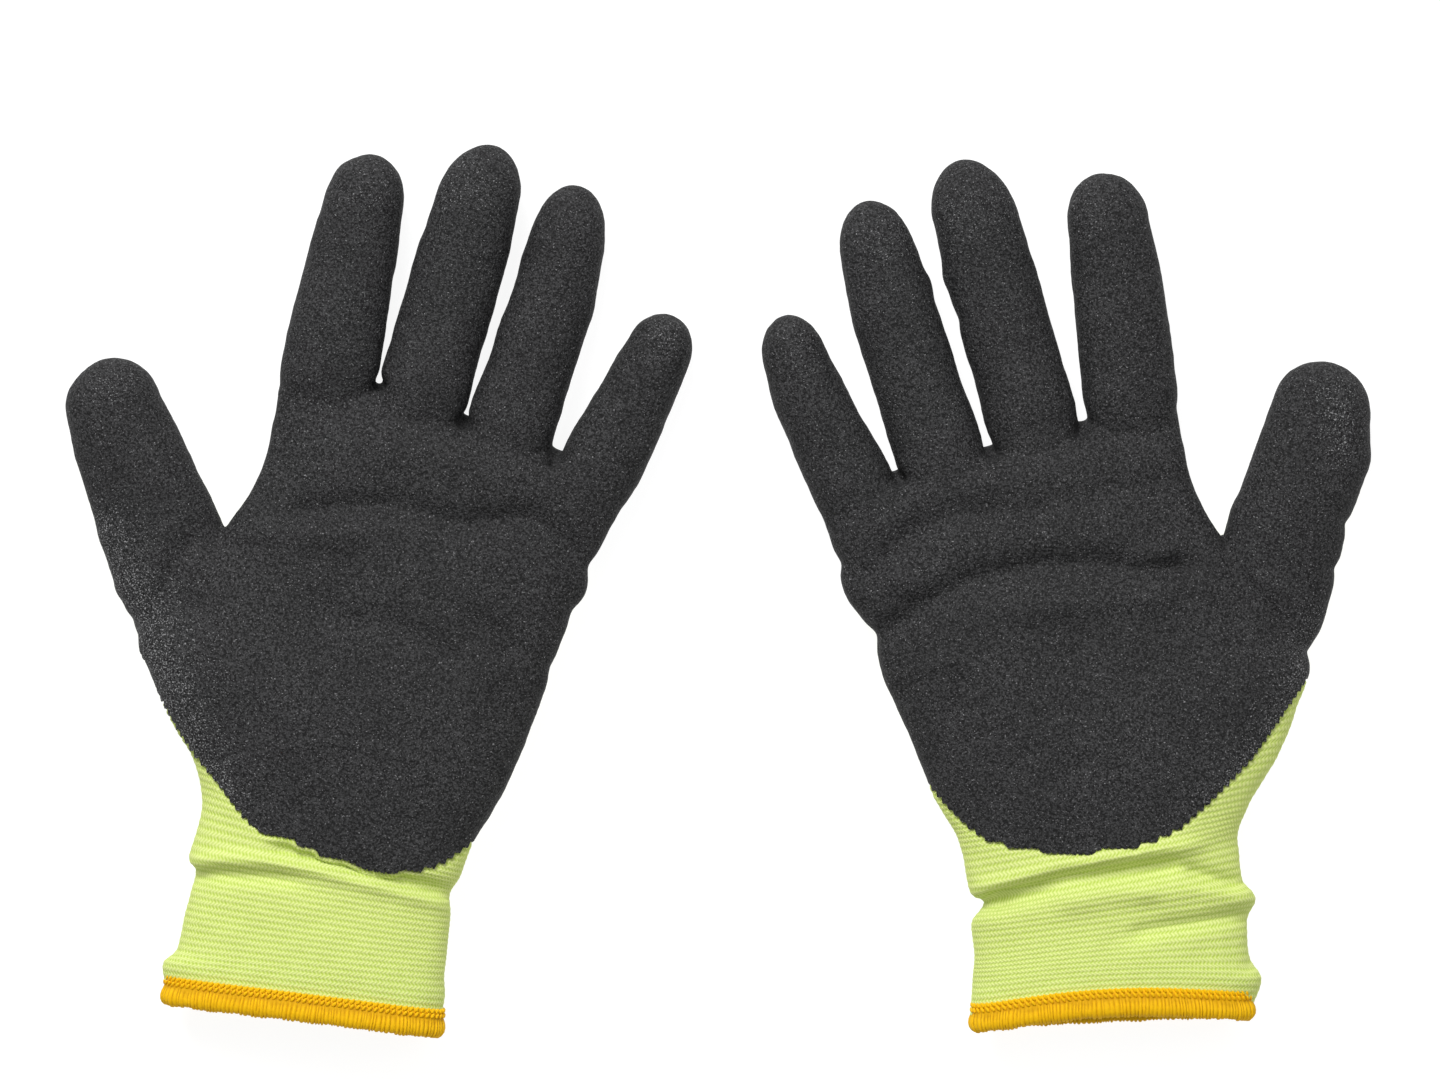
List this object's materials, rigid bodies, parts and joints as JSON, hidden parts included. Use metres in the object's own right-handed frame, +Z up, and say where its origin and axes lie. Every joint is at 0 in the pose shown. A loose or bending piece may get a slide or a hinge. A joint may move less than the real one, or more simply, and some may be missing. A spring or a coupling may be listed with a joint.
{
  "type": "coated work gloves",
  "caption": "Pair of knitted hi-vis work gloves with a dark foam coat over palm and fingers, ribbed cuffs and overlocked hems, with bending finger stalls.",
  "frame": {"origin": "middle of the pair's footprint, on the surface that the gloves lie on", "axes": "+X from the left glove to the right glove, +Y towards the fingertips, +Z up out of the palms"},
  "size_m": [0.3764, 0.2626, 0.0291],
  "materials": {
    "foam_coat": "sandy foam nitrile, matt",
    "lining_knit": "fine lime knit",
    "rib_knit": "lime knit with cross ribs",
    "hem_yarn": "golden overlock yarn"
  },
  "bodies": {
    "left_palm": {"left_hand_knit": "lining_knit", "left_palm_coat": "foam_coat", "left_cuff_rib": "rib_knit", "left_hem_binding": "hem_yarn"},
    "left_index_base": {"left_index_coat_base": "foam_coat", "left_index_knit_base": "lining_knit"},
    "left_index_tip": {"left_index_coat_tip": "foam_coat", "left_index_knit_tip": "lining_knit"},
    "left_middle_base": {"left_middle_coat_base": "foam_coat", "left_middle_knit_base": "lining_knit"},
    "left_middle_tip": {"left_middle_coat_tip": "foam_coat", "left_middle_knit_tip": "lining_knit"},
    "left_ring_base": {"left_ring_coat_base": "foam_coat", "left_ring_knit_base": "lining_knit"},
    "left_ring_tip": {"left_ring_coat_tip": "foam_coat", "left_ring_knit_tip": "lining_knit"},
    "left_little_base": {"left_little_coat_base": "foam_coat", "left_little_knit_base": "lining_knit"},
    "left_little_tip": {"left_little_coat_tip": "foam_coat", "left_little_knit_tip": "lining_knit"},
    "left_thumb_base": {"left_thumb_coat_base": "foam_coat", "left_thumb_knit_base": "lining_knit"},
    "left_thumb_tip": {"left_thumb_coat_tip": "foam_coat", "left_thumb_knit_tip": "lining_knit"},
    "right_palm": {"right_hand_knit": "lining_knit", "right_palm_coat": "foam_coat", "right_cuff_rib": "rib_knit", "right_hem_binding": "hem_yarn"},
    "right_index_base": {"right_index_coat_base": "foam_coat", "right_index_knit_base": "lining_knit"},
    "right_index_tip": {"right_index_coat_tip": "foam_coat", "right_index_knit_tip": "lining_knit"},
    "right_middle_base": {"right_middle_coat_base": "foam_coat", "right_middle_knit_base": "lining_knit"},
    "right_middle_tip": {"right_middle_coat_tip": "foam_coat", "right_middle_knit_tip": "lining_knit"},
    "right_ring_base": {"right_ring_coat_base": "foam_coat", "right_ring_knit_base": "lining_knit"},
    "right_ring_tip": {"right_ring_coat_tip": "foam_coat", "right_ring_knit_tip": "lining_knit"},
    "right_little_base": {"right_little_coat_base": "foam_coat", "right_little_knit_base": "lining_knit"},
    "right_little_tip": {"right_little_coat_tip": "foam_coat", "right_little_knit_tip": "lining_knit"},
    "right_thumb_base": {"right_thumb_coat_base": "foam_coat", "right_thumb_knit_base": "lining_knit"},
    "right_thumb_tip": {"right_thumb_coat_tip": "foam_coat", "right_thumb_knit_tip": "lining_knit"}
  },
  "joints": [
    {"name": "left_index_root_bend", "type": "hinge", "parent": "left_palm", "child": "left_index_base", "pos_m": [-0.11023, 0.06945, 0.0193], "axis": [0.9703, -0.2419, 0], "range_deg": [0, 80], "stiffness_Nm_per_rad": 0.004},
    {"name": "left_index_middle_bend", "type": "hinge", "parent": "left_index_base", "child": "left_index_tip", "pos_m": [-0.10482, 0.09605, 0.0193], "axis": [0.9799, -0.1994, 0], "range_deg": [0, 85], "stiffness_Nm_per_rad": 0.004},
    {"name": "left_middle_root_bend", "type": "hinge", "parent": "left_palm", "child": "left_middle_base", "pos_m": [-0.08171, 0.06234, 0.0193], "axis": [0.9703, -0.2419, 0], "range_deg": [0, 80], "stiffness_Nm_per_rad": 0.004},
    {"name": "left_middle_middle_bend", "type": "hinge", "parent": "left_middle_base", "child": "left_middle_tip", "pos_m": [-0.07412, 0.09169, 0.0193], "axis": [0.9681, -0.2504, 0], "range_deg": [0, 85], "stiffness_Nm_per_rad": 0.004},
    {"name": "left_ring_root_bend", "type": "hinge", "parent": "left_palm", "child": "left_ring_base", "pos_m": [-0.05599, 0.05181, 0.0193], "axis": [0.9703, -0.2419, 0], "range_deg": [0, 80], "stiffness_Nm_per_rad": 0.004},
    {"name": "left_ring_middle_bend", "type": "hinge", "parent": "left_ring_base", "child": "left_ring_tip", "pos_m": [-0.04825, 0.07973, 0.0193], "axis": [0.9636, -0.2672, 0], "range_deg": [0, 85], "stiffness_Nm_per_rad": 0.004},
    {"name": "left_little_root_bend", "type": "hinge", "parent": "left_palm", "child": "left_little_base", "pos_m": [-0.03008, 0.04122, 0.0178], "axis": [0.9703, -0.2419, 0], "range_deg": [0, 80], "stiffness_Nm_per_rad": 0.004},
    {"name": "left_little_middle_bend", "type": "hinge", "parent": "left_little_base", "child": "left_little_tip", "pos_m": [-0.02152, 0.05958, 0.0178], "axis": [0.9063, -0.4226, 0], "range_deg": [0, 85], "stiffness_Nm_per_rad": 0.004},
    {"name": "left_thumb_root_bend", "type": "hinge", "parent": "left_palm", "child": "left_thumb_base", "pos_m": [-0.15961, 0.019, 0.0203], "axis": [0.9304, 0.3665, 0], "range_deg": [0, 55], "stiffness_Nm_per_rad": 0.004},
    {"name": "left_thumb_middle_bend", "type": "hinge", "parent": "left_thumb_base", "child": "left_thumb_tip", "pos_m": [-0.16837, 0.04126, 0.0203], "axis": [0.9304, 0.3665, 0], "range_deg": [0, 70], "stiffness_Nm_per_rad": 0.004},
    {"name": "right_index_root_bend", "type": "hinge", "parent": "right_palm", "child": "right_index_base", "pos_m": [0.12026, 0.06305, 0.0193], "axis": [0.9703, 0.2419, 0], "range_deg": [0, 80], "stiffness_Nm_per_rad": 0.004},
    {"name": "right_index_middle_bend", "type": "hinge", "parent": "right_index_base", "child": "right_index_tip", "pos_m": [0.11696, 0.08999, 0.0193], "axis": [0.9925, 0.1219, 0], "range_deg": [0, 85], "stiffness_Nm_per_rad": 0.004},
    {"name": "right_middle_root_bend", "type": "hinge", "parent": "right_palm", "child": "right_middle_base", "pos_m": [0.09174, 0.05594, 0.0193], "axis": [0.9703, 0.2419, 0], "range_deg": [0, 80], "stiffness_Nm_per_rad": 0.004},
    {"name": "right_middle_middle_bend", "type": "hinge", "parent": "right_middle_base", "child": "right_middle_tip", "pos_m": [0.08399, 0.08525, 0.0193], "axis": [0.9668, 0.2554, 0], "range_deg": [0, 85], "stiffness_Nm_per_rad": 0.004},
    {"name": "right_ring_root_bend", "type": "hinge", "parent": "right_palm", "child": "right_ring_base", "pos_m": [0.06602, 0.04541, 0.0193], "axis": [0.9703, 0.2419, 0], "range_deg": [0, 80], "stiffness_Nm_per_rad": 0.004},
    {"name": "right_ring_middle_bend", "type": "hinge", "parent": "right_ring_base", "child": "right_ring_tip", "pos_m": [0.05803, 0.07326, 0.0193], "axis": [0.9613, 0.2756, 0], "range_deg": [0, 85], "stiffness_Nm_per_rad": 0.004},
    {"name": "right_little_root_bend", "type": "hinge", "parent": "right_palm", "child": "right_little_base", "pos_m": [0.04011, 0.03483, 0.0178], "axis": [0.9703, 0.2419, 0], "range_deg": [0, 80], "stiffness_Nm_per_rad": 0.004},
    {"name": "right_little_middle_bend", "type": "hinge", "parent": "right_little_base", "child": "right_little_tip", "pos_m": [0.03204, 0.05339, 0.0178], "axis": [0.9171, 0.3987, 0], "range_deg": [0, 85], "stiffness_Nm_per_rad": 0.004},
    {"name": "right_thumb_root_bend", "type": "hinge", "parent": "right_palm", "child": "right_thumb_base", "pos_m": [0.16464, 0.01816, 0.0203], "axis": [0.9703, -0.2419, 0], "range_deg": [0, 55], "stiffness_Nm_per_rad": 0.004},
    {"name": "right_thumb_middle_bend", "type": "hinge", "parent": "right_thumb_base", "child": "right_thumb_tip", "pos_m": [0.17043, 0.04137, 0.0203], "axis": [0.9703, -0.2419, 0], "range_deg": [0, 70], "stiffness_Nm_per_rad": 0.004},
    {"name": "right_glove_slide", "type": "slide", "parent": "left_palm", "child": "right_palm", "axis": [1, 0, 0], "range_m": [0, 0.12]}
  ]
}
